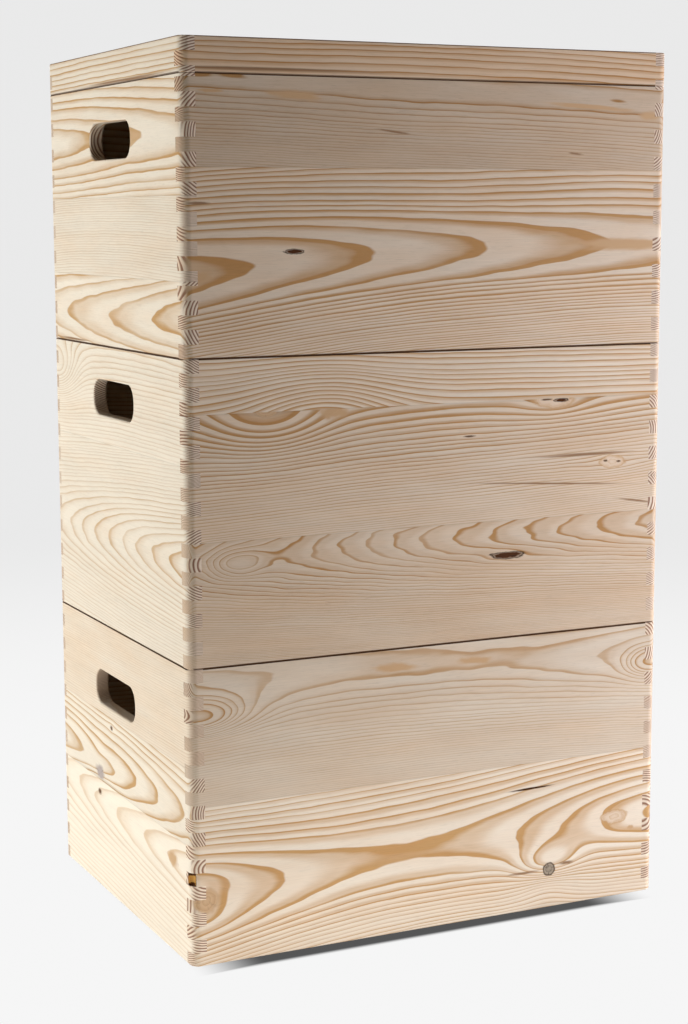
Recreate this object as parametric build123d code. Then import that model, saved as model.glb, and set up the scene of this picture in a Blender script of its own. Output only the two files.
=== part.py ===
from build123d import *
from math import radians, tan
import os

# Three stacked finger-jointed pine boxes. The top box has a hinged lid that was sawn off the
# same carcass, so its finger joint runs on across the lid line.
# Millimetres. Origin: centre of the footprint, on the surface the stack stands on. +Z is up,
# +X is to the right along the long front, +Y is to the back.

# ---- driving dimensions ----------------------------------------------------------------------
BOX_LENGTH = 400.0          # X, outside
BOX_WIDTH = 300.0           # Y, outside
BOX_HEIGHT = 222.0          # Z, height of each box's walls, with the lid on the top one
WALL = 11.0                 # board thickness
CORNER_RADIUS = 7.0         # rounding of the four upright corners
EDGE_EASE = 0.6             # sanded arris along the rims
FINGERS = 22                # fingers up one corner, shared in turn by the two boards

LID_HEIGHT = 25.0
SAW_KERF = 3.0              # lost when the lid was sawn off

FLOOR_THICKNESS = 4.0       # plywood
FLOOR_RISE = 8.0            # underside of the floor above the bottom edge of the walls
GROOVE_DEPTH = 5.0          # groove for the floor and for the lid's panel
GROOVE_END_GAP = 0.5        # the panel stops this far short of the bottom of its groove
LID_RECESS = 6.0            # lid panel below the top of its rails, so one more box nests on it

RUNNER_DROP = 5.0           # runners stand this far below the walls
RUNNER_WIDTH = 20.0
NEST_CLEARANCE = 1.5        # runner ends and sides to the inside of the box below
RUNNER_EASE = 1.0

RESIN_POCKET = (-199.3, -146.6, 66.2)       # bottom of a chipped resin pocket in one corner finger
RESIN_POCKET_RADIUS = 3.6
RESIN_POCKET_HEIGHT = 11.0                  # out through the top of the finger
RESIN_POCKET_BEVEL = 1.6

HANDLE_LENGTH = 92.0
HANDLE_HEIGHT = 28.0
HANDLE_END_RADIUS = 12.5
HANDLE_ROUNDOVER = 1.5

NAIL_SHANK_RADIUS = 1.1
NAIL_HEAD_RADIUS = 2.6
NAIL_HEAD_HEIGHT = 0.8
NAIL_SINK = 0.5
NAIL_LENGTH = 15.5
NAIL_PLACES = (-105.0, 0.0, 105.0)

HINGE_PLACES = (("left", -120.0), ("right", 120.0))
HINGE_LENGTH = 30.0
HINGE_INSET = 2.3           # pin axis in from the back of the box
LEAF_THICKNESS = 0.9
LEAF_EDGE_INSET = 1.0       # leaf stops this far short of the inside of the wall
KNUCKLE_RADIUS = 2.1
KNUCKLE_GAP = 0.15
KNUCKLE_ROOM = 0.3          # mortise round the knuckle
MIDDLE_KNUCKLE = 10.0       # length of the lid leaf's knuckle
PIN_RADIUS = 0.8
PIN_CLEARANCE = 0.05
HINGE_BEVEL = 50.0          # degrees; two bevels let the lid lean 100 degrees back
SCREW_SPACING = 20.0
SCREW_RADIUS = 1.2
SCREW_HEAD_RADIUS = 2.3
SCREW_HEAD_HEIGHT = 1.4
SCREW_LENGTH = 10.0
SCREW_SINK = 0.1

# Glue lines of each wall, as heights above the bottom edge of that wall, and each box's handle:
# its centre above the bottom edge, and how far it sits behind the middle of the side.
BOXES = {
    "bottom": {
        "glue_lines": {"front": (119.5,), "back": (96.0,), "left": (90.0, 148.0), "right": (104.0,)},
        "handle": (169.0, 13.0),
    },
    "middle": {
        "glue_lines": {"front": (91.0, 182.5), "back": (128.0,), "left": (146.0,), "right": (118.0,)},
        "handle": (181.5, 4.0),
    },
    "top": {
        "glue_lines": {"front": (133.0,), "back": (82.0,), "left": (54.0, 113.5), "right": (92.0,)},
        "handle": (156.0, 1.0),
    },
}
BOARD_WORDS = {2: ("lower", "upper"), 3: ("lower", "centre", "upper")}

# ---- worked out from the above ---------------------------------------------------------------
HALF_X = BOX_LENGTH / 2
HALF_Y = BOX_WIDTH / 2
INSIDE_X = HALF_X - WALL
INSIDE_Y = HALF_Y - WALL
OVERSIZE = 1.0              # how far a cutting tool stands past a face
RUNNER_HEIGHT = RUNNER_DROP + FLOOR_RISE
HINGE_Y = HALF_Y - HINGE_INSET
TOP_FLOOR_Z = RUNNER_DROP + 2 * BOX_HEIGHT
LID_Z = TOP_FLOOR_Z + BOX_HEIGHT - LID_HEIGHT
LID_TOP_Z = LID_Z + LID_HEIGHT


def block(x0, x1, y0, y1, z0, z1):
    """A rectangular block between two corners."""
    size = (x1 - x0, y1 - y0, z1 - z0)
    centre = ((x0 + x1) / 2, (y0 + y1) / 2, (z0 + z1) / 2)
    return Pos(*centre) * Box(*size)


def carcass(z0, z1):
    """The four walls in one piece: rounded outside corners, square inside, eased rims."""
    outside = RectangleRounded(BOX_LENGTH, BOX_WIDTH, CORNER_RADIUS)
    inside = Rectangle(2 * INSIDE_X, 2 * INSIDE_Y)
    ring = Pos(0, 0, z0) * extrude(outside - inside, z1 - z0)
    rims = ring.edges().group_by(Axis.Z)[0] + ring.edges().group_by(Axis.Z)[-1]
    return chamfer(rims, EDGE_EASE)


def corner_posts(z_start, pitch, z0, z1, first):
    """Every second finger space of the four corners, as blocks between z0 and z1."""
    posts = []
    for index in range(first, FINGERS, 2):
        low = max(z_start + index * pitch, z0 - OVERSIZE)
        high = min(z_start + (index + 1) * pitch, z1 + OVERSIZE)
        if high - low < 0.01:
            continue
        for sx in (-1, 1):
            for sy in (-1, 1):
                xs = sorted((sx * INSIDE_X, sx * (HALF_X + OVERSIZE)))
                ys = sorted((sy * INSIDE_Y, sy * (HALF_Y + OVERSIZE)))
                posts.append(block(*xs, *ys, low, high))
    return posts


def wall_slab(side, z0, z1):
    """The full-length slab of space that one wall is cut out of."""
    far_x = HALF_X + OVERSIZE
    far_y = HALF_Y + OVERSIZE
    slabs = {
        "front": (-far_x, far_x, -far_y, -INSIDE_Y),
        "back": (-far_x, far_x, INSIDE_Y, far_y),
        "left": (-far_x, -INSIDE_X, -far_y, far_y),
        "right": (INSIDE_X, far_x, -far_y, far_y),
    }
    return block(*slabs[side], z0 - OVERSIZE, z1 + OVERSIZE)


def four_walls(z0, z1, joint_start, joint_height):
    """Front, back, left and right walls with their fingers cut.

    The joint is laid out over joint_height from joint_start. The front and back own the first
    finger up from the bottom, the sides own the last one at the top.
    """
    ring = carcass(z0, z1)
    pitch = joint_height / FINGERS
    side_fingers = corner_posts(joint_start, pitch, z0, z1, first=1)
    long_fingers = corner_posts(joint_start, pitch, z0, z1, first=0)
    walls = {}
    for side in ("front", "back"):
        walls[side] = (ring & wall_slab(side, z0, z1)) - side_fingers
    for side in ("left", "right"):
        walls[side] = (ring & wall_slab(side, z0, z1)) - long_fingers
    return walls


def panel(z0):
    """A plywood panel let into grooves all round; floor and lid have the same one."""
    reach = GROOVE_DEPTH - GROOVE_END_GAP
    x = INSIDE_X + reach
    y = INSIDE_Y + reach
    return block(-x, x, -y, y, z0, z0 + FLOOR_THICKNESS)


def panel_groove(z0):
    x = INSIDE_X + GROOVE_DEPTH
    y = INSIDE_Y + GROOVE_DEPTH
    return block(-x, x, -y, y, z0, z0 + FLOOR_THICKNESS)


def cut_handle(board, side, handle_z, handle_y):
    """Cut the long hand hole through an end board and round over both its rims."""
    sign = -1 if side == "left" else 1
    outline = RectangleRounded(HANDLE_LENGTH, HANDLE_HEIGHT, HANDLE_END_RADIUS)
    facing = Plane(origin=(sign * (INSIDE_X + WALL / 2), handle_y, handle_z), x_dir=(0, 1, 0),
                   z_dir=(1, 0, 0))
    board = board - extrude(facing * outline, WALL, both=True)
    rims = []
    for edge in board.edges():
        centre = edge.center()
        on_face = abs(abs(centre.X) - HALF_X) < 0.01 or abs(abs(centre.X) - INSIDE_X) < 0.01
        in_slot = (abs(centre.Y - handle_y) <= HANDLE_LENGTH / 2 + 0.01
                   and abs(centre.Z - handle_z) <= HANDLE_HEIGHT / 2 + 0.01)
        if on_face and in_slot:
            rims.append(edge)
    return fillet(rims, HANDLE_ROUNDOVER)


def boards(wall, side, z0, z1, glue_lines):
    """Split one wall at its glue lines, lowest board first."""
    edges = [z0 - OVERSIZE] + [z0 + line for line in glue_lines] + [z1 + OVERSIZE]
    pieces = []
    for low, high in zip(edges[:-1], edges[1:]):
        pieces.append(wall & wall_slab(side, low + OVERSIZE, high - OVERSIZE))
    return dict(zip(BOARD_WORDS[len(pieces)], pieces))


def runner(sign, z_walls):
    """One batten under the floor; it drops into the rim of the box below."""
    outer = INSIDE_X - NEST_CLEARANCE
    xs = sorted((sign * outer, sign * (outer - RUNNER_WIDTH)))
    y = INSIDE_Y - NEST_CLEARANCE
    batten = block(*xs, -y, y, z_walls - RUNNER_DROP, z_walls + FLOOR_RISE)
    return chamfer(batten.edges().group_by(Axis.Z)[0], RUNNER_EASE)


def nail(x, y, z_walls):
    base = z_walls - RUNNER_DROP + NAIL_SINK
    head = Pos(x, y, base + NAIL_HEAD_HEIGHT / 2) * Cylinder(NAIL_HEAD_RADIUS, NAIL_HEAD_HEIGHT)
    shank = Pos(x, y, base + NAIL_LENGTH / 2) * Cylinder(NAIL_SHANK_RADIUS, NAIL_LENGTH)
    return head + shank


def nail_hole(x, y, z_walls):
    """The space of one nail, with the small dimple left under its sunk head."""
    dimple = Pos(x, y, z_walls - RUNNER_DROP + NAIL_SINK / 2) * Cylinder(NAIL_HEAD_RADIUS, NAIL_SINK)
    return nail(x, y, z_walls) + dimple


def resin_pocket():
    """The hollow where a resin pocket broke out of a corner, narrower at its foot."""
    hollow = Cylinder(RESIN_POCKET_RADIUS, RESIN_POCKET_HEIGHT)
    hollow = chamfer(hollow.edges().group_by(Axis.Z)[0], RESIN_POCKET_BEVEL)
    x, y, z = RESIN_POCKET
    return Pos(x, y, z + RESIN_POCKET_HEIGHT / 2) * hollow


def build_box(name, z_walls, z_rim, joint_height, parts):
    """One box: jointed walls of edge-glued boards, a let-in floor, and two nailed runners."""
    spec = BOXES[name]
    floor_z = z_walls + FLOOR_RISE
    handle_z, handle_y = spec["handle"]
    walls = four_walls(z_walls, z_rim, z_walls, joint_height)
    for side, wall in walls.items():
        wall = wall - panel_groove(floor_z)
        pieces = boards(wall, side, z_walls, z_rim, spec["glue_lines"][side])
        if side in ("left", "right"):
            pieces["upper"] = cut_handle(pieces["upper"], side, z_walls + handle_z, handle_y)
        for word, piece in pieces.items():
            parts[f"{name}_{side}_{word}_board"] = piece

    nail_x = INSIDE_X - NEST_CLEARANCE - RUNNER_WIDTH / 2
    spots = [(sign * nail_x, y) for sign in (-1, 1) for y in NAIL_PLACES]
    holes = [nail_hole(x, y, z_walls) for x, y in spots]
    parts[f"{name}_floor"] = panel(floor_z) - holes
    parts[f"{name}_left_runner"] = runner(-1, z_walls) - holes
    parts[f"{name}_right_runner"] = runner(1, z_walls) - holes
    parts[f"{name}_runner_nails"] = Compound([nail(x, y, z_walls) for x, y in spots])


def hinge_bevels():
    """The V along the back of the lid line that gives the lid room to swing, and stops it."""
    drop = (HINGE_INSET + OVERSIZE) * tan(radians(HINGE_BEVEL))
    far = HALF_Y + OVERSIZE
    notch = Plane.YZ * Polyline((HINGE_Y, LID_Z), (far, LID_Z + drop), (far, LID_Z - drop), close=True)
    return extrude(make_face(notch), HALF_X + OVERSIZE, both=True)


def x_cylinder(radius, x0, x1):
    """A cylinder along the hinge axis from x0 to x1."""
    return Pos((x0 + x1) / 2, HINGE_Y, LID_Z) * Rot(0, 90, 0) * Cylinder(radius, x1 - x0)


def screw(x, y, up):
    """A countersunk screw through a leaf; up is 1 for the lid's screws and -1 for the box's."""
    start = SCREW_SINK
    profile = Polyline(
        (0, start), (SCREW_HEAD_RADIUS, start), (SCREW_RADIUS, start + SCREW_HEAD_HEIGHT),
        (SCREW_RADIUS, SCREW_LENGTH - SCREW_RADIUS), (0, SCREW_LENGTH), close=True)
    body = revolve(make_face(Plane.XZ * profile), Axis.Z)
    turn = Rot(0, 0, 0) if up > 0 else Rot(180, 0, 0)
    return Pos(x, y, LID_Z) * turn * body


def hinge_leaf(x_mid, up):
    """One leaf with its knuckles; the lid leaf has the middle knuckle, the box leaf the others."""
    half = HINGE_LENGTH / 2
    middle = MIDDLE_KNUCKLE / 2
    y_edge = INSIDE_Y + LEAF_EDGE_INSET
    y_free = HINGE_Y - KNUCKLE_RADIUS - KNUCKLE_ROOM
    zs = sorted((LID_Z, LID_Z + up * LEAF_THICKNESS))
    if up > 0:
        spans = [(x_mid - middle, x_mid + middle)]
    else:
        spans = [(x_mid - half, x_mid - middle - KNUCKLE_GAP), (x_mid + middle + KNUCKLE_GAP, x_mid + half)]
    leaf = block(x_mid - half, x_mid + half, y_edge, y_free, *zs)
    for x0, x1 in spans:
        leaf = leaf + block(x0, x1, y_free, HINGE_Y, *zs)
        leaf = leaf + x_cylinder(KNUCKLE_RADIUS, x0, x1)
    bore = PIN_RADIUS + PIN_CLEARANCE if up > 0 else PIN_RADIUS
    leaf = leaf - x_cylinder(bore, x_mid - half - OVERSIZE, x_mid + half + OVERSIZE)
    return leaf


def hinge_mortise(x_mid):
    """Pockets for both leaves and the half-round space round the knuckles."""
    x0 = x_mid - HINGE_LENGTH / 2
    x1 = x_mid + HINGE_LENGTH / 2
    y_edge = INSIDE_Y + LEAF_EDGE_INSET
    pocket = block(x0, x1, y_edge, HINGE_Y, LID_Z - LEAF_THICKNESS, LID_Z + LEAF_THICKNESS)
    return pocket + x_cylinder(KNUCKLE_RADIUS + KNUCKLE_ROOM, x0, x1)


def fit_hinges(parts):
    """Two small butt hinges let into the back rim of the box and the back rail of the lid."""
    screw_y = (INSIDE_Y + LEAF_EDGE_INSET + HINGE_Y - KNUCKLE_RADIUS) / 2
    screws = {1: [], -1: []}
    cutters = [hinge_bevels()]
    for name, x_mid in HINGE_PLACES:
        cutters.append(hinge_mortise(x_mid))
        for up in (1, -1):
            for dx in (-SCREW_SPACING / 2, SCREW_SPACING / 2):
                screws[up].append(screw(x_mid + dx, screw_y, up))
        parts[f"{name}_hinge_pin"] = x_cylinder(PIN_RADIUS, x_mid - HINGE_LENGTH / 2,
                                                x_mid + HINGE_LENGTH / 2)
        for leaf_name, up in (("lid", 1), ("box", -1)):
            leaf = hinge_leaf(x_mid, up)
            head_room = [screw_recess(x_mid + dx, screw_y, up) for dx in (-SCREW_SPACING / 2,
                                                                          SCREW_SPACING / 2)]
            parts[f"{name}_hinge_{leaf_name}_leaf"] = leaf - head_room
    parts["hinge_box_screws"] = Compound(screws[-1])
    parts["hinge_lid_screws"] = Compound(screws[1])
    parts["top_back_upper_board"] = parts["top_back_upper_board"] - cutters - screws[-1]
    parts["lid_back_rail"] = parts["lid_back_rail"] - cutters - screws[1]
    for name in ("top_left_upper_board", "top_right_upper_board", "lid_left_rail", "lid_right_rail"):
        parts[name] = parts[name] - cutters[0]


def screw_recess(x, y, up):
    """The countersink and hole that a screw leaves in its leaf."""
    mouth = Pos(x, y, LID_Z + up * SCREW_SINK / 2) * Cylinder(SCREW_HEAD_RADIUS, SCREW_SINK)
    return screw(x, y, up) + mouth


def build_lid(parts):
    """The sawn-off top of the carcass: four rails and a let-in panel."""
    # The joint was cut before the lid came off, so its start lies one kerf lower.
    joint_start = TOP_FLOOR_Z - SAW_KERF
    panel_z = LID_TOP_Z - LID_RECESS - FLOOR_THICKNESS
    walls = four_walls(LID_Z, LID_TOP_Z, joint_start, BOX_HEIGHT + SAW_KERF)
    for side, wall in walls.items():
        parts[f"lid_{side}_rail"] = wall - panel_groove(panel_z)
    parts["lid_panel"] = panel(panel_z)


def build_all():
    parts = {}
    for level, name in enumerate(("bottom", "middle", "top")):
        z_walls = RUNNER_DROP + level * BOX_HEIGHT
        has_lid = name == "top"
        z_rim = LID_Z if has_lid else z_walls + BOX_HEIGHT
        joint_height = BOX_HEIGHT + SAW_KERF if has_lid else BOX_HEIGHT
        build_box(name, z_walls, z_rim, joint_height, parts)
    build_lid(parts)
    fit_hinges(parts)
    parts["bottom_front_lower_board"] = parts["bottom_front_lower_board"] - resin_pocket()
    return parts


os.makedirs("parts", exist_ok=True)
for node, shape in build_all().items():
    export_step(shape, f"parts/{node}.step")
    print(f"{node:32s} {shape.volume:12.1f} mm3  solids {len(shape.solids())}")
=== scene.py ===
"""Looks of the stack of pine toy boxes: wood grain, metal, floor, light and camera round the CAD.

Wood is a solid texture. Each board knows where the pith of its log ran, and its growth rings are
shells round that line, so faces and rounded corners show the same rings. End grain shows
END_RINGS times as many rings as the faces.
Lengths are millimetres in the wood code and metres in Blender's own space.
"""
import math

import bpy
from mathutils import Matrix, Vector


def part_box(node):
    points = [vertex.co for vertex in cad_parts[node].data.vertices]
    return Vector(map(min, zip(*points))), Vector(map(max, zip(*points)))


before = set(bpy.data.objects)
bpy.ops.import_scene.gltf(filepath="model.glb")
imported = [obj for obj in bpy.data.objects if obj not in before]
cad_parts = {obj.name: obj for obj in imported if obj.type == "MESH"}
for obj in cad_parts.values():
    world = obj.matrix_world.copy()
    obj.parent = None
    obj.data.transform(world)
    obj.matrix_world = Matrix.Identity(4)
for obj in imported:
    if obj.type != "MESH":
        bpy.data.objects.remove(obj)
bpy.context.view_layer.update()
MM = 0.001
PER_METRE = 1000.0


# ---- shader nodes written as arithmetic --------------------------------------------------------
class Num:
    """A number that varies over a surface. Arithmetic on it adds Math nodes to its tree."""

    def __init__(self, tree, socket):
        self.tree = tree
        self.socket = socket

    def math(self, operation, *others):
        node = self.tree.nodes.new("ShaderNodeMath")
        node.operation = operation
        for slot, value in zip(node.inputs, (self,) + others):
            plug(self.tree, value, slot)
        return Num(self.tree, node.outputs[0])

    def __add__(self, other):
        return self.math("ADD", other)

    def __sub__(self, other):
        return self.math("SUBTRACT", other)

    def __mul__(self, other):
        return self.math("MULTIPLY", other)

    def __truediv__(self, other):
        return self.math("DIVIDE", other)

    def __pow__(self, other):
        return self.math("POWER", other)

    def flipped(self):
        """One minus this."""
        return self * -1.0 + 1.0

    def ramp(self, low, high):
        """0 below low, 1 above high, and smooth between."""
        node = self.tree.nodes.new("ShaderNodeMapRange")
        node.interpolation_type = "SMOOTHSTEP"
        plug(self.tree, self, node.inputs["Value"])
        plug(self.tree, low, node.inputs["From Min"])
        plug(self.tree, high, node.inputs["From Max"])
        return Num(self.tree, node.outputs["Result"])


def plug(tree, value, slot):
    """Link a varying value into a socket, or set the socket to a constant."""
    if isinstance(value, Num):
        tree.links.new(value.socket, slot)
    elif isinstance(value, bpy.types.NodeSocket):
        tree.links.new(value, slot)
    else:
        slot.default_value = value


def combine(tree, x, y, z):
    node = tree.nodes.new("ShaderNodeCombineXYZ")
    for slot, value in zip(node.inputs, (x, y, z)):
        plug(tree, value, slot)
    return node.outputs[0]


def split(tree, vector):
    node = tree.nodes.new("ShaderNodeSeparateXYZ")
    plug(tree, vector, node.inputs[0])
    return [Num(tree, out) for out in node.outputs]


def noise(tree, x, y, z, detail=0.0):
    """Three independent noises, each about 0.5, at a point given by three numbers."""
    node = tree.nodes.new("ShaderNodeTexNoise")
    plug(tree, combine(tree, x, y, z), node.inputs["Vector"])
    node.inputs["Scale"].default_value = 1.0
    node.inputs["Detail"].default_value = detail
    parts = tree.nodes.new("ShaderNodeSeparateColor")
    tree.links.new(node.outputs["Color"], parts.inputs[0])
    return [Num(tree, out) for out in parts.outputs]


def mix(tree, share, low, high, blend="MIX"):
    """Mix of two colours, high where share is 1."""
    node = tree.nodes.new("ShaderNodeMix")
    node.data_type = "RGBA"
    node.blend_type = blend
    plug(tree, share, node.inputs["Factor"])
    plug(tree, low, node.inputs["A"])
    plug(tree, high, node.inputs["B"])
    return node.outputs["Result"]


def new_material(name):
    material = bpy.data.materials.new(name)
    material.use_nodes = True
    return material, material.node_tree, material.node_tree.nodes["Principled BSDF"]


def in_mm(tree, coordinates):
    """Object coordinates in millimetres. All pieces share the frame's one origin."""
    return [number * PER_METRE for number in split(tree, coordinates.outputs["Object"])]


def add_bump(tree, shader, relief, strength, height_mm):
    bump = tree.nodes.new("ShaderNodeBump")
    bump.inputs["Strength"].default_value = strength
    bump.inputs["Distance"].default_value = height_mm * MM
    plug(tree, relief, bump.inputs["Height"])
    tree.links.new(bump.outputs["Normal"], shader.inputs["Normal"])


def new_group(name, inputs, outputs):
    """An empty shader node group. Returns its tree, its inputs as numbers, and its output node."""
    tree = bpy.data.node_groups.new(name, "ShaderNodeTree")
    kinds = {"colour": "NodeSocketColor", "vector": "NodeSocketVector", "number": "NodeSocketFloat"}
    for label, kind in inputs:
        tree.interface.new_socket(name=label, in_out="INPUT", socket_type=kinds[kind])
    for label, kind in outputs:
        tree.interface.new_socket(name=label, in_out="OUTPUT", socket_type=kinds[kind])
    source = tree.nodes.new("NodeGroupInput")
    sink = tree.nodes.new("NodeGroupOutput")
    given = {}
    for (label, kind), out in zip(inputs, source.outputs):
        given[label] = Num(tree, out) if kind == "number" else out
    return tree, given, sink


def use_group(tree, group, **values):
    """Add a group to a tree. Keyword names are its input names in lower case with underscores."""
    node = tree.nodes.new("ShaderNodeGroup")
    node.node_tree = group
    for slot in node.inputs:
        key = slot.name.lower().replace(" ", "_")
        if key in values:
            plug(tree, values[key], slot)
    return node.outputs


# ---- pine --------------------------------------------------------------------------------------
EARLY_WOOD = (0.800, 0.680, 0.530, 1.0)
LATE_WOOD = (0.530, 0.305, 0.125, 1.0)
END_EARLY_WOOD = (0.790, 0.640, 0.480, 1.0)
END_LATE_WOOD = (0.240, 0.105, 0.055, 1.0)
# Painted shade: the dark brown that the seams between pieces and the lid's top edge are darkened
# towards
EDGE_SHADE = (0.060, 0.018, 0.003, 1.0)
BARK = (0.045, 0.022, 0.012, 1.0)
REDDISH = (0.96, 0.80, 0.66, 1.0)
SQUEEZE_FROM = 25.0      # mm above or below the pith where rings start to crowd
END_RINGS = 2.2          # rings drawn on end grain for each ring on a face
EDGE_SHADE_CORE = 0.55        # mm from a board's edge that get the full painted shade
EDGE_SHADE_END = 1.0          # mm from a board's edge where the painted shade ends
EDGE_SHADE_DEPTH = (0.3, 1.6)     # mm in from the outer face over which it fades


def pine_group():
    """Growth rings, fibres and pores of one board, from a place in it in millimetres.

    Place is along the grain, up the board and in from its outer face. The pith runs on a parabola
    through three heights and three depths. Swell pushes the rings apart locally.
    """
    numbers = ["Length", "Board Height", "Seed", "Height A", "Height B", "Height C", "Depth A",
               "Depth B", "Depth C", "Ring Scale", "Ring Power", "Phase", "Wander", "Ripple",
               "Swell", "Squeeze Below", "Squeeze Above", "Contrast", "Late Share", "Warmth",
               "Tone", "Dark Below", "Dark Above"]
    inputs = [("Place", "vector"), ("End Grain", "number")] + [(n, "number") for n in numbers]
    outputs = [("Colour", "colour"), ("Relief", "number"), ("Roughness", "number")]
    tree, given, sink = new_group("pine", inputs, outputs)
    along, up, deep = split(tree, given["Place"])
    seed = given["Seed"]
    share = along / given["Length"]

    drift = noise(tree, along / 230.0 + seed, up / 75.0, deep / 60.0 + seed, 1.0)
    ripple = noise(tree, along / 34.0 + seed, up / 9.0, deep / 9.0, 1.0)
    wander = given["Wander"]
    pith_up = given["Height A"] + share * (given["Height B"] + share * given["Height C"])
    pith_deep = given["Depth A"] + share * (given["Depth B"] + share * given["Depth C"])
    rise = up - pith_up - (drift[0] - 0.5) * wander * 2.0
    rise = rise - (rise * -1.0 - SQUEEZE_FROM).math("MAXIMUM", 0.0) * given["Squeeze Below"]
    rise = rise + (rise - SQUEEZE_FROM).math("MAXIMUM", 0.0) * given["Squeeze Above"]
    away = deep - pith_deep - (drift[1] - 0.5) * wander
    radius = (rise * rise + away * away).math("SQRT")
    radius = radius + given["Swell"] + (ripple[0] - 0.5) * given["Ripple"]

    count = radius.math("MAXIMUM", 0.0) ** given["Ring Power"] / given["Ring Scale"]
    uneven = noise(tree, count * 0.43 + seed, seed, 0.5)
    count = count + (uneven[0] - 0.5) * 0.9 + given["Phase"]
    year = count.math("FLOOR")
    season = count.math("FRACT")
    good_year = noise(tree, year * 0.73 + seed, 3.1, 0.5)
    start = given["Late Share"].flipped() - (good_year[1] - 0.5) * 0.3
    width = radius / (count.math("MAXIMUM", 0.5) * given["Ring Power"])
    late = season.ramp(start - 0.32, start + 0.06) * (width.ramp(1.5, 6.5) * 0.42 + 0.20)
    late = (late + season.ramp(0.72, 0.90) * 0.62) * season.ramp(0.95, 1.0).flipped()
    patch = noise(tree, along / 95.0 + seed, up / 17.0, deep / 17.0, 2.0)
    late = late * (good_year[0] + 0.45) * (width.ramp(0.5, 4.5) * 0.45 + 0.55) * given["Contrast"]
    late = late * (patch[2] * 1.2 + 0.4)
    fibre = noise(tree, along / 28.0, up / 0.8 + seed, deep / 0.8, 2.0)
    dash = noise(tree, along / 7.0 + seed, up / 0.42, deep / 0.42)
    end_grain = given["End Grain"]
    pores = dash[1].ramp(0.64, 0.76) * end_grain.flipped()

    colour = mix(tree, late, EARLY_WOOD, LATE_WOOD)
    end_season = (count * END_RINGS).math("FRACT")
    end_late = end_season.ramp(0.30, 0.68) * end_season.ramp(0.88, 1.0).flipped()
    end_late = end_late * (width.ramp(0.8, 3.5) * 0.55 + 0.35)
    end_colour = mix(tree, end_late, END_EARLY_WOOD, END_LATE_WOOD)
    colour = mix(tree, end_grain, colour, end_colour)
    warm = (patch[0] - 0.5) * 0.9 + given["Warmth"]
    colour = mix(tree, warm, colour, REDDISH, "MULTIPLY")
    # Tone is partly the board's own brightness and partly painted light and shade, set per board for
    # light the lamps don't give.
    shade = (fibre[0] - 0.5) * 0.16 + (patch[1] - 0.5) * 0.14 + given["Tone"] - pores * 0.06
    edge = up.math("MINIMUM", given["Board Height"] - up)
    shade = shade - edge.ramp(0.0, 0.7).flipped() * 0.10
    grey = combine(tree, shade, shade, shade)
    colour = mix(tree, 1.0, colour, grey, "MULTIPLY")
    # Painted shade of the seams: the board is darkened near its lower and upper edge, close to its
    # outer face.
    below = up.ramp(EDGE_SHADE_CORE, EDGE_SHADE_END).flipped() * given["Dark Below"]
    from_top = given["Board Height"] - up
    above = from_top.ramp(EDGE_SHADE_CORE, EDGE_SHADE_END).flipped() * given["Dark Above"]
    outside = deep.ramp(*EDGE_SHADE_DEPTH).flipped()
    colour = mix(tree, below.math("MAXIMUM", above) * outside, colour, EDGE_SHADE)

    relief = late * 0.5 + fibre[1] * 0.35 - pores * 0.6 + ripple[1] * 0.3
    roughness = fibre[2] * 0.16 + late * -0.10 + 0.56
    plug(tree, colour, sink.inputs["Colour"])
    plug(tree, relief, sink.inputs["Relief"])
    plug(tree, roughness, sink.inputs["Roughness"])
    return tree


def flow_group():
    """Rings bend round a knot: places near its middle are drawn in towards it."""
    names = ("Along", "Up", "Strength", "Reach Along", "Reach Up")
    inputs = [("Place", "vector")] + [(n, "number") for n in names]
    tree, given, sink = new_group("flow round knot", inputs, [("Place", "vector")])
    along, up, deep = split(tree, given["Place"])
    side = (along - given["Along"]) / given["Reach Along"]
    rise = (up - given["Up"]) / given["Reach Up"]
    near = ((side * side + rise * rise) * -1.0).math("EXPONENT") * given["Strength"]
    bent = given["Up"] + (up - given["Up"]) * near.flipped()
    plug(tree, combine(tree, along, bent, deep), sink.inputs["Place"])
    return tree


def swell_group():
    """A smooth hump in the ring field, which closes rings into ovals and eyes."""
    names = ("Along", "Up", "Reach Along", "Reach Up", "Amount", "Before")
    inputs = [("Place", "vector")] + [(n, "number") for n in names]
    tree, given, sink = new_group("ring swell", inputs, [("Swell", "number")])
    along, up, _ = split(tree, given["Place"])
    side = (along - given["Along"]) / given["Reach Along"]
    rise = (up - given["Up"]) / given["Reach Up"]
    near = ((side * side + rise * rise) * -1.0).math("EXPONENT")
    plug(tree, given["Before"] + near * given["Amount"], sink.inputs["Swell"])
    return tree


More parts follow.
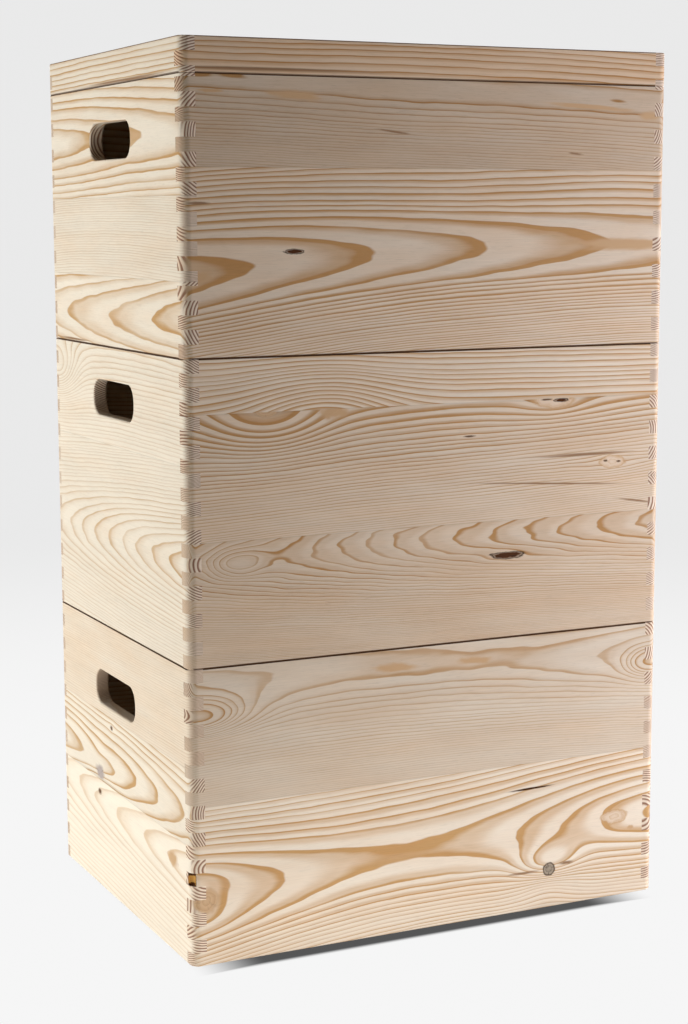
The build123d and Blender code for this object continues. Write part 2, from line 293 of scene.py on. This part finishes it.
def knot_group():
    """A knot or streak: an oval of other wood with its own rings, a dark rim and some cracks."""
    names = ("Along", "Up", "Half Length", "Half Height", "Slope", "Depth", "Softness",
             "Ring Count", "Rim", "Crack", "Ragged")
    inputs = [("Place", "vector"), ("Before", "colour"), ("Wood", "colour"), ("Edge", "colour")]
    inputs += [(n, "number") for n in names]
    tree, given, sink = new_group("knot", inputs, [("Colour", "colour")])
    along, up, deep = split(tree, given["Place"])
    wobble = noise(tree, along / given["Half Length"] * 1.9, up / given["Half Height"] * 1.1,
                   given["Along"], 3.0)
    aside = along - given["Along"]
    side = aside / given["Half Length"] + (wobble[0] - 0.5) * given["Ragged"]
    rise = (up - given["Up"] - aside * given["Slope"]) / given["Half Height"]
    rise = rise + (wobble[1] - 0.5) * given["Ragged"]
    reach = (side * side + rise * rise).math("SQRT")
    in_depth = deep.ramp(given["Depth"], given["Depth"] + 3.0).flipped()
    inside = reach.ramp(given["Softness"].flipped(), 1.05).flipped() * in_depth
    ring = (reach * given["Ring Count"]).math("FRACT") ** 2.0
    wood = mix(tree, ring * 0.5, given["Wood"], given["Edge"])
    angle = rise.math("ARCTAN2", side)
    crack = noise(tree, angle * 2.6 + given["Up"], reach * 0.6, 0.0, 2.0)
    wood = mix(tree, crack[0].ramp(0.57, 0.64) * given["Crack"], wood, BARK)
    colour = mix(tree, inside, given["Before"], wood)
    rim = reach.ramp(0.80, 1.0) * reach.ramp(1.02, 1.24).flipped() * given["Rim"] * in_depth
    colour = mix(tree, rim, colour, given["Edge"])
    plug(tree, colour, sink.inputs["Colour"])
    return tree


PINE = pine_group()
FLOW = flow_group()
SWELL = swell_group()
KNOT = knot_group()

# wood, edge, (how much the rings bend round it, how far), softness, rings, rim, cracks, raggedness.
# A bend below 0 spreads the rings instead of drawing them in.
KNOT_KINDS = {
    "sound": ((0.64, 0.42, 0.24, 1.0), (0.46, 0.25, 0.11, 1.0), (1.0, 1.0), 0.15, 2.5, 0.30, 0.15, 0.6),
    "grey": ((0.40, 0.32, 0.23, 1.0), (0.09, 0.06, 0.04, 1.0), (-1.2, 2.0), 0.15, 1.6, 0.95, 0.6, 0.4),
    "faded": ((0.47, 0.38, 0.33, 1.0), (0.40, 0.30, 0.25, 1.0), (-0.8, 1.5), 0.5, 1.0, 0.0, 0.5, 0.8),
    "bark": ((0.090, 0.030, 0.009, 1.0), BARK, (0.8, 1.0), 0.35, 1.7, 0.9, 0.9, 1.0),
    "pin": ((0.16, 0.085, 0.045, 1.0), (0.22, 0.12, 0.06, 1.0), (0.6, 1.0), 0.40, 1.0, 0.4, 0.0, 0.8),
    "patch": ((0.77, 0.59, 0.42, 1.0), (0.58, 0.34, 0.16, 1.0), (0.6, 1.0), 0.10, 2.3, 0.7, 0.0, 0.8),
    "tan": ((0.61, 0.38, 0.20, 1.0), (0.57, 0.34, 0.17, 1.0), (0.0, 1.0), 0.60, 1.0, 0.0, 0.0, 0.9),
    "streak": ((0.33, 0.19, 0.10, 1.0), (0.30, 0.16, 0.075, 1.0), (0.0, 1.0), 0.75, 0.0, 0.0, 0.0, 0.8),
    "dark": ((0.060, 0.020, 0.006, 1.0), BARK, (0.0, 1.0), 0.60, 0.0, 0.0, 0.0, 0.8),
}


def parabola(left, middle, right):
    """Coefficients of the parabola through three values at 0, one half and 1."""
    return left, 4.0 * middle - 3.0 * left - right, 2.0 * left - 4.0 * middle + 2.0 * right


def ring_law(near_mm, far_mm, near_radius=30.0, far_radius=90.0):
    """Scale and power of the ring count that give these ring widths at these distances."""
    power = 1.0 + math.log(near_mm / far_mm) / math.log(far_radius / near_radius)
    return near_mm * power * near_radius ** (power - 1.0), power


def grain_place(tree, node, wall):
    """Place in a board along its grain, up from its lower edge and in from its outer face, in mm.

    Also returns how much a face is end grain: 1 where it is square to the grain.
    """
    low, high = (corner * PER_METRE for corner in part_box(node))
    coordinates = tree.nodes.new("ShaderNodeTexCoord")
    x, y, z = in_mm(tree, coordinates)
    normal = split(tree, coordinates.outputs["Normal"])
    up = z - low.z
    if wall == "front":
        along, deep, facing = x - low.x, y - low.y, normal[0]
    elif wall == "back":
        along, deep, facing = x * -1.0 + high.x, y * -1.0 + high.y, normal[0]
    elif wall == "left":
        along, deep, facing = y * -1.0 + high.y, x - low.x, normal[1]
    else:
        along, deep, facing = y - low.y, x * -1.0 + high.x, normal[1]
    end_grain = facing.math("ABSOLUTE").ramp(0.35, 0.85)
    return combine(tree, along, up, deep), end_grain


def pine_material(node, wall, pith, rings=(4.0, 2.5), phase=0.0, wander=3.0, ripple=1.3,
                  contrast=0.75, late=0.28, warmth=0.1, tone=1.0, squeeze=(0.0, 0.0), seed=0.0,
                  dark=(0.0, 0.0), swells=(), knots=()):
    """Material of one board.

    pith is (height, depth) of the log's middle at the board's start, middle and end, rings the
    ring widths 30 and 90 mm from it. squeeze crowds the rings more than 25 mm below and above the
    pith, and dark is the painted shade along the lower and upper edge, where the seams fall in
    shade. swells are (along, up, reach along, reach up, amount) and knots (along, up, half length,
    half height, kind, slope, depth), the last two optional. tone is partly the board's own
    brightness and partly painted light and shade.
    """
    low, high = (corner * PER_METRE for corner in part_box(node))
    length = high.x - low.x if wall in ("front", "back") else high.y - low.y
    material, tree, shader = new_material(f"pine_{node}")
    place, end_grain = grain_place(tree, node, wall)
    bent = place
    for along, up, half_length, half_height, kind, *_ in knots:
        bend, reach = KNOT_KINDS[kind][2]
        if bend:
            bent = use_group(tree, FLOW, place=bent, along=along, up=up, strength=bend,
                             reach_along=half_length * 2.6 * reach,
                             reach_up=half_height * 1.9 * reach)["Place"]
    swell = 0.0
    for along, up, reach_along, reach_up, amount in swells:
        swell = use_group(tree, SWELL, place=place, along=along, up=up, reach_along=reach_along,
                          reach_up=reach_up, amount=amount, before=swell)["Swell"]
    heights = parabola(*(h for h, d in pith))
    depths = parabola(*(d for h, d in pith))
    scale, power = ring_law(*rings)
    wood = use_group(tree, PINE, place=bent, end_grain=end_grain, length=length,
                     board_height=high.z - low.z, seed=seed, height_a=heights[0],
                     height_b=heights[1], height_c=heights[2], depth_a=depths[0],
                     depth_b=depths[1], depth_c=depths[2], ring_scale=scale, ring_power=power,
                     phase=phase, wander=wander, ripple=ripple, swell=swell, contrast=contrast,
                     squeeze_below=squeeze[0], squeeze_above=squeeze[1], late_share=late,
                     warmth=warmth, tone=tone, dark_below=dark[0], dark_above=dark[1])
    colour = wood["Colour"]
    for along, up, half_length, half_height, kind, *more in knots:
        slope, depth = (list(more) + [0.0, 30.0][len(more):])[:2]
        inner, outer, _, softness, ring_count, rim, crack, ragged = KNOT_KINDS[kind]
        colour = use_group(tree, KNOT, place=place, before=colour, wood=inner, edge=outer,
                           along=along, up=up, half_length=half_length, half_height=half_height,
                           slope=slope, depth=depth, softness=softness, ring_count=ring_count,
                           rim=rim, crack=crack, ragged=ragged)["Colour"]
    plug(tree, colour, shader.inputs["Base Color"])
    plug(tree, wood["Roughness"], shader.inputs["Roughness"])
    add_bump(tree, shader, wood["Relief"], strength=0.35, height_mm=0.25)
    shader.inputs["Specular IOR Level"].default_value = 0.04
    return material


def wear(node, material):
    """Give a CAD node its material."""
    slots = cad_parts[node].data.materials
    slots.clear()
    slots.append(material)


# Each board: (height, depth) of the pith at its left, middle and right end as seen from outside,
# and what else shapes its figure. Its tone is partly its own brightness and partly painted light
# and shade, for light the lamps don't give it.
BOARDS = {
    "lid_front_rail": dict(
        pith=((-52, 34), (-52, 34), (-56, 34)), rings=(4.6, 4.0), wander=2.0, contrast=1.05,
        late=0.34, warmth=0.95, tone=0.96, seed=1.0, knots=((60, 3.5, 110, 1.6, "streak"),)),
    "top_front_upper_board": dict(
        pith=((64, 14), (57, 15), (50, 15)), rings=(2.6, 1.3), wander=4.0, contrast=1.0,
        warmth=0.75, tone=0.79, seed=2.0,
        knots=((330, 47, 48, 2.2, "tan", -0.055), (384, 41, 12, 4.5, "tan"),
               (88, 50, 28, 4.0, "tan", -0.08), (22, 52, 12, 1.5, "tan"),
               (165, 26, 18, 1.2, "streak", -0.12), (318, 12, 9, 1.0, "streak", -0.1))),
    "top_front_lower_board": dict(
        pith=((58, 20), (76, 36), (80, 47)), rings=(7.2, 3.8), phase=0.10, wander=3.0,
        contrast=1.15, late=0.35, warmth=0.50, tone=0.97, squeeze=(0.9, 0.25), seed=3.0,
        swells=((190, 118, 130, 24, 8.0),),
        knots=((85, 74, 7, 1.8, "bark"), (10, 57, 14, 6, "tan"), (370, 77, 60, 6, "tan"),
               (12, 108, 12, 1.5, "streak"))),
    "middle_front_upper_board": dict(
        pith=((-60, 25), (-62, 25), (-64, 25)), rings=(5.4, 4.0), wander=3.0, contrast=1.1,
        late=0.40, warmth=0.35, seed=4.0, swells=((108, -2, 58, 30, -24.0),)),
    "middle_front_centre_board": dict(
        pith=((135, 16), (142, 16), (152, 16)), rings=(14.0, 3.2), phase=0.70, wander=5.0,
        contrast=1.3, late=0.37, warmth=0.5, tone=0.93, seed=5.0,
        swells=((62, 93, 42, 24, -44.0), (300, 94, 26, 11, -8.0)),
        knots=((62, 92, 9, 4, "sound"), (116, 89, 16, 7, "tan"), (301, 93, 18, 8, "patch"),
               (295, 91, 5, 1.0, "pin"), (308, 90, 6, 1.3, "bark"),
               (355, 40, 11, 4.5, "patch"), (349, 41, 2, 0.9, "pin"), (361, 40, 2, 0.9, "pin"),
               (330, 47, 60, 1.6, "streak"), (300, 26, 90, 1.0, "streak", -0.06),
               (378, 8, 22, 1.2, "streak", -0.15), (228, 66, 5, 0.8, "pin"))),
    "middle_front_lower_board": dict(
        pith=((79, 56), (81, 41), (82, 27)), rings=(2.5, 1.0), wander=2.0, ripple=1.6, seed=6.0,
        contrast=1.6, late=0.54, warmth=0.55, tone=0.89, swells=((38, 74, 22, 11, -6.0),),
        knots=((262, 64, 14, 2.6, "bark"),)),
    "bottom_front_upper_board": dict(
        pith=((88, 30), (88, 36), (80, 30)), rings=(3.2, 1.5), phase=0.35, wander=5.0,
        contrast=0.95, warmth=0.35, tone=0.90, seed=7.0,
        swells=((8, 66, 34, 13, -24.0), (394, 70, 22, 12, -18.0)),
        knots=((165, 88, 22, 4.5, "tan", -0.05), (234, 87, 18, 3.5, "tan", -0.05))),
    "bottom_front_lower_board": dict(
        pith=((50, 20), (64, 39), (66, 4)), rings=(6.6, 3.2), phase=0.69, wander=4.0,
        contrast=1.00, late=0.42, warmth=0.15, tone=1.08, squeeze=(0.35, 0.0), seed=8.0,
        swells=((302, 34, 26, 17, -15.0),),
        knots=((302, 31, 5, 4.8, "grey"), (362, 66, 11, 5.5, "patch"), (11, 49, 9, 9, "sound"),
               (378, 55, 4, 2.0, "tan"), (285, 99, 26, 1.1, "dark", 0.02),
               (278, 31, 18, 1.6, "streak"), (318, 34, 10, 2.0, "streak"))),
    "lid_left_rail": dict(
        pith=((-60, 30), (-60, 30), (-60, 30)), rings=(4.4, 4.0), wander=2.0, contrast=1.0,
        seed=1.4, knots=((180, 1.5, 120, 1.5, "streak"),)),
    "top_left_upper_board": dict(
        pith=((44, 22), (44, 27), (43, 32.5)), rings=(5.2, 3.4), phase=0.70, wander=3.0,
        contrast=0.95, late=0.32, tone=1.03, seed=9.0, knots=((205, 44, 20, 4, "tan"),)),
    "top_left_centre_board": dict(
        pith=((-95, 20), (-92, 20), (-95, 20)), rings=(2.8, 2.1), wander=3.0, contrast=0.9,
        seed=10.0),
    "top_left_lower_board": dict(
        pith=((27, 43), (25, 36), (28, 29)), rings=(5.0, 3.4), phase=1.10, wander=3.0,
        contrast=1.0, late=0.38, tone=1.04, seed=11.0, knots=((55, 2, 50, 1.3, "streak"),)),
    "middle_left_upper_board": dict(
        pith=((95, 30), (100, 34), (104, 26)), rings=(3.8, 3.0), wander=3.0, contrast=0.6,
        warmth=0.0, tone=1.03, seed=12.0, swells=((10, 50, 46, 22, -28.0),)),
    "middle_left_lower_board": dict(
        pith=((72, 46), (74, 32), (76, 16)), rings=(3.5, 2.0), wander=3.0, contrast=0.7,
        warmth=0.0, seed=13.0),
    "bottom_left_upper_board": dict(
        pith=((-85, 20), (-83, 20), (-80, 20)), rings=(2.8, 2.1), wander=2.0, warmth=0.3,
        contrast=0.7, tone=0.99, seed=14.0),
    "bottom_left_centre_board": dict(
        pith=((18, 14), (20, 26), (22, 38)), rings=(4.4, 3.2), phase=0.1, wander=3.0, contrast=0.9,
        warmth=0.0, tone=1.04, seed=15.0, knots=((127, 50, 3, 2, "pin"), (97, 7, 12, 7, "faded"))),
    "bottom_left_lower_board": dict(
        pith=((76, 40), (74, 28), (72, 14)), rings=(4.4, 3.2), wander=3.0, contrast=0.40,
        warmth=-0.2, tone=1.14, seed=16.0,
        knots=((95, 80, 4, 2.5, "pin"), (262, 72, 12, 7, "tan"))),
}


def wall_of(node):
    """Which wall a board or rail belongs to, from its name."""
    for word in node.split("_"):
        if word in ("front", "back", "left", "right"):
            return word
    return "front"


def edge_shade_of(node):
    """Painted shade in the seams: how dark the lower and upper edge of the pieces that meet at one are,
    and the lid's top edge.
    """
    if node.endswith("_rail"):
        return 0.75, 0.70
    if node.endswith("_lower_board"):
        return (0.0 if node.startswith("bottom") else 0.96), 0.0
    if node.endswith("_upper_board"):
        return 0.0, 0.96
    return 0.0, 0.0


def dress_boards():
    """Every pine piece gets its own material; those without a row get a varied one."""
    for index, node in enumerate(sorted(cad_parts)):
        if not node.endswith(("_board", "_rail", "_runner")):
            continue
        look = BOARDS.get(node)
        if look is None:
            turn = index * 2.4
            height = 44 + 60 * math.sin(turn)
            depth = 32 + 10 * math.cos(turn)
            look = dict(pith=((height - 4, depth - 12), (height, depth), (height + 3, depth + 10)),
                        rings=(4.4, 2.6), seed=20.0 + index)
        material = pine_material(node, wall_of(node), dark=edge_shade_of(node), **look)
        if node == "bottom_front_lower_board":
            add_resin(material)
        wear(node, material)


POCKET_X, POCKET_Y = -199.3, -146.6      # the pocket's middle, in mm
POCKET_Z = (65.6, 75.9)                  # its lower and upper end
BARK_RADIUS, AMBER_RADIUS = 3.9, 3.5
RESIN_BARK = (0.075, 0.030, 0.012, 1.0)
AMBER = (0.95, 0.50, 0.12, 1.0)


def add_resin(material):
    """Brown bark and amber resin inside the broken-out pocket at the near left corner."""
    tree = material.node_tree
    shader = tree.nodes["Principled BSDF"]
    coordinates = tree.nodes.new("ShaderNodeTexCoord")
    x, y, z = in_mm(tree, coordinates)
    side = x - POCKET_X
    rise = y - POCKET_Y
    reach = (side * side + rise * rise).math("SQRT")
    speck = noise(tree, x / 1.6, y / 1.6, z / 1.6, 2.0)
    low, high = POCKET_Z
    inside = (reach + (speck[0] - 0.5)).ramp(BARK_RADIUS, BARK_RADIUS + 0.3).flipped()
    inside = inside * z.ramp(low, low + 0.5) * z.ramp(high - 0.2, high).flipped()
    amber = (z + (speck[1] - 0.5) * 3.0).ramp(low + 1.4, low + 2.6)
    amber = amber * (z + speck[2] * 2.0).ramp(high - 2.5, high - 1.3).flipped()
    amber = amber * reach.ramp(AMBER_RADIUS, AMBER_RADIUS + 0.25).flipped()
    stuff = mix(tree, amber, RESIN_BARK, AMBER)
    before = shader.inputs["Base Color"].links[0].from_socket
    rough = Num(tree, shader.inputs["Roughness"].links[0].from_socket)
    plug(tree, mix(tree, inside, before, stuff), shader.inputs["Base Color"])
    plug(tree, rough - inside * amber * 0.35, shader.inputs["Roughness"])


# ---- plywood and metal -------------------------------------------------------------------------
def plywood_material():
    """Rotary-cut veneer: broad drawn-out figure on the faces, three plies showing at the edges."""
    material, tree, shader = new_material("plywood")
    coordinates = tree.nodes.new("ShaderNodeTexCoord")
    x, y, z = in_mm(tree, coordinates)
    facing = split(tree, coordinates.outputs["Normal"])
    drift = noise(tree, x / 150.0, y / 60.0, z / 200.0, 2.0)
    fibre = noise(tree, x / 30.0, y / 0.9, z / 3.0, 2.0)
    contour = drift[0] * 17.0 + y / 90.0
    season = contour.math("FRACT")
    late = season.ramp(0.45, 0.90) * season.ramp(0.94, 1.0).flipped() * (drift[1] * 0.9 + 0.1)
    colour = mix(tree, late, (0.72, 0.57, 0.40, 1.0), (0.52, 0.33, 0.17, 1.0))
    ply = (z / 1.33).math("FRACT").ramp(0.46, 0.54)
    edge = facing[2].math("ABSOLUTE").ramp(0.4, 0.8).flipped()
    colour = mix(tree, edge * ply * 0.7, colour, (0.34, 0.21, 0.11, 1.0))
    shade = (fibre[0] - 0.5) * 0.20 + (drift[2] - 0.5) * 0.15 + 0.98
    colour = mix(tree, 1.0, colour, combine(tree, shade, shade, shade), "MULTIPLY")
    plug(tree, colour, shader.inputs["Base Color"])
    plug(tree, fibre[1] * 0.15 + 0.55, shader.inputs["Roughness"])
    add_bump(tree, shader, fibre[2], strength=0.3, height_mm=0.2)
    return material


def metal_material(name, base, dull, stretch):
    """Plated metal with fine drawn lines and patches of tarnish. stretch is in mm along x, y, z."""
    material, tree, shader = new_material(name)
    coordinates = tree.nodes.new("ShaderNodeTexCoord")
    x, y, z = in_mm(tree, coordinates)
    cloud = noise(tree, x / 3.0, y / 3.0, z / 3.0, 3.0)
    drawn = noise(tree, x / stretch[0], y / stretch[1], z / stretch[2], 2.0)
    tarnish = cloud[0].ramp(0.42, 0.70)
    colour = mix(tree, tarnish * 0.7, base, dull)
    plug(tree, colour, shader.inputs["Base Color"])
    shader.inputs["Metallic"].default_value = 1.0
    plug(tree, drawn[0] * 0.18 + tarnish * 0.18 + 0.20, shader.inputs["Roughness"])
    add_bump(tree, shader, drawn[1], strength=0.25, height_mm=0.05)
    return material


def dress_the_rest():
    """Plywood for the let-in panels, zinc for the nails, brass for hinges, pins and screws."""
    plywood = plywood_material()
    zinc = metal_material("zinc", (0.62, 0.63, 0.65, 1.0), (0.36, 0.36, 0.37, 1.0), (0.4, 0.4, 4.0))
    brass = metal_material("brass", (0.80, 0.58, 0.26, 1.0), (0.48, 0.31, 0.13, 1.0),
                           (12.0, 0.3, 0.3))
    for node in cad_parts:
        if node.endswith(("_floor", "_panel")):
            wear(node, plywood)
        elif node.endswith("_nails"):
            wear(node, zinc)
        elif "hinge" in node:
            wear(node, brass)


# ---- floor, light and camera -------------------------------------------------------------------
LENS_MM = 70.9
CAMERA_PLACE = Vector((-0.7066, -1.4694, 0.5467))
CAMERA_TURN = math.radians(25.52)     # to the right of +Y
CAMERA_DIP = math.radians(8.30)
CAMERA_ROLL = math.radians(0.19)


def add_camera():
    data = bpy.data.cameras.new("camera")
    data.lens = LENS_MM
    camera = bpy.data.objects.new("camera", data)
    bpy.context.scene.collection.objects.link(camera)
    look = (Matrix.Translation(CAMERA_PLACE) @ Matrix.Rotation(-CAMERA_TURN, 4, "Z")
            @ Matrix.Rotation(math.pi / 2 - CAMERA_DIP, 4, "X") @ Matrix.Rotation(-CAMERA_ROLL, 4, "Z"))
    camera.matrix_world = look
    bpy.context.scene.camera = camera


FACING = (math.sin(CAMERA_TURN), math.cos(CAMERA_TURN), 0.0)     # fixed: level, to the backdrop
BACKDROP = 0.82              # how bright the backdrop is
FLOOR_EXTRA = 0.10           # how much brighter the floor is near the boxes
FLOOR_HALF = 30.0            # metres
SHADOW_Y = (0.149, 0.156)    # the contact shadow ends over this, before and behind the boxes
SHADOW_X = (0.14, 0.20)      # and over this at its two ends


def towards_backdrop(tree, coordinate, near, far):
    """0 at near and less, 1 at far and more, measured towards the backdrop."""
    dot = tree.nodes.new("ShaderNodeVectorMath")
    dot.operation = "DOT_PRODUCT"
    tree.links.new(coordinate, dot.inputs[0])
    dot.inputs[1].default_value = FACING
    return Num(tree, dot.outputs["Value"]).ramp(near, far)


def camera_rays(tree):
    """1 for rays straight from the camera, 0 for light that reaches the boxes."""
    return Num(tree, tree.nodes.new("ShaderNodeLightPath").outputs["Is Camera Ray"])


def add_floor():
    """A white floor that runs out into the backdrop without a horizon.

    The camera sees it glow, so no shadow falls on it. What it lights the boxes with is weaker on
    the camera's side. Along the boxes' front and back it glows less, as a thin contact shadow.
    """
    half = FLOOR_HALF
    mesh = bpy.data.meshes.new("floor")
    corners = [(-half, -half, 0), (half, -half, 0), (half, half, 0), (-half, half, 0)]
    mesh.from_pydata(corners, [], [(0, 1, 2, 3)])
    floor = bpy.data.objects.new("floor", mesh)
    bpy.context.scene.collection.objects.link(floor)
    material, tree, shader = new_material("floor")
    shader.inputs["Base Color"].default_value = (0.86, 0.86, 0.86, 1.0)
    shader.inputs["Roughness"].default_value = 0.9
    glow = tree.nodes.new("ShaderNodeEmission")
    coordinates = tree.nodes.new("ShaderNodeTexCoord")
    x, y, _ = split(tree, coordinates.outputs["Object"])
    far_off = (x * x + y * y).math("SQRT").ramp(0.5, 2.0)
    clear_of_front = y.math("ABSOLUTE").ramp(*SHADOW_Y)
    clear_of_ends = x.math("ABSOLUTE").ramp(*SHADOW_X)
    open_floor = clear_of_front.math("MAXIMUM", clear_of_ends)
    glow_there = far_off * -FLOOR_EXTRA + BACKDROP + FLOOR_EXTRA
    strength = glow_there * (open_floor * 0.9 + 0.1)
    plug(tree, strength, glow.inputs["Strength"])
    not_in_front = towards_backdrop(tree, coordinates.outputs["Object"], -1.0, -0.5)
    self_lit = (not_in_front * 0.85).math("MAXIMUM", camera_rays(tree))
    blend = tree.nodes.new("ShaderNodeMixShader")
    plug(tree, self_lit, blend.inputs[0])
    tree.links.new(shader.outputs["BSDF"], blend.inputs[1])
    tree.links.new(glow.outputs["Emission"], blend.inputs[2])
    tree.links.new(blend.outputs[0], tree.nodes["Material Output"].inputs["Surface"])
    mesh.materials.append(material)


def add_world():
    """A pale backdrop all round for the camera, which lights the boxes almost only from behind."""
    world = bpy.data.worlds.new("studio")
    bpy.context.scene.world = world
    world.use_nodes = True
    tree = world.node_tree
    coordinates = tree.nodes.new("ShaderNodeTexCoord")
    behind = towards_backdrop(tree, coordinates.outputs["Generated"], 0.35, 0.85)
    bright = behind.math("MAXIMUM", camera_rays(tree))
    room = mix(tree, bright, (0.01, 0.01, 0.01, 1.0), (BACKDROP, BACKDROP, BACKDROP, 1.0))
    plug(tree, room, tree.nodes["Background"].inputs["Color"])


def add_area(name, place, target, size, power, colour=(1.0, 1.0, 1.0)):
    """A rectangular lamp at a place, turned to a target, that the camera doesn't see."""
    data = bpy.data.lights.new(name, "AREA")
    data.energy = power
    data.color = colour
    data.shape = "RECTANGLE"
    data.size, data.size_y = size
    light = bpy.data.objects.new(name, data)
    light.location = place
    light.rotation_euler = (Vector(target) - Vector(place)).to_track_quat("-Z", "Y").to_euler()
    light.visible_camera = False
    bpy.context.scene.collection.objects.link(light)


def add_lights():
    """Watts and metres. The first one lights the left side, the next three the front."""
    add_area("low_key", (-1.5, 0.33, 0.3), (-0.2, 0.05, 0.2), (1.1, 0.5), 16.0, (0.93, 1.0, 1.06))
    add_area("right_fill", (0.70, -0.54, 0.4), (0.05, -0.15, 0.3), (0.3, 0.8), 4.5, (1.0, 1.05, 1.29))
    add_area("low_fill", (0.8, -0.55, 0.12), (0.0, -0.15, 0.1), (0.5, 0.2), 2.0)
    add_area("strip", (-0.13, -0.33, 0.012), (-0.12, -0.15, 0.02), (0.4, 0.02), 0.16)
    add_area("rim", (1.5, 0.05, 0.3), (0.2, 0.0, 0.3), (0.6, 0.8), 8.0)
    add_area("top", (0.0, 0.75, 2.3), (0.0, 0.0, 0.33), (1.0, 1.0), 26.0)
    bpy.context.scene.view_settings.view_transform = "Standard"


dress_boards()
dress_the_rest()
add_floor()
add_world()
add_lights()
add_camera()
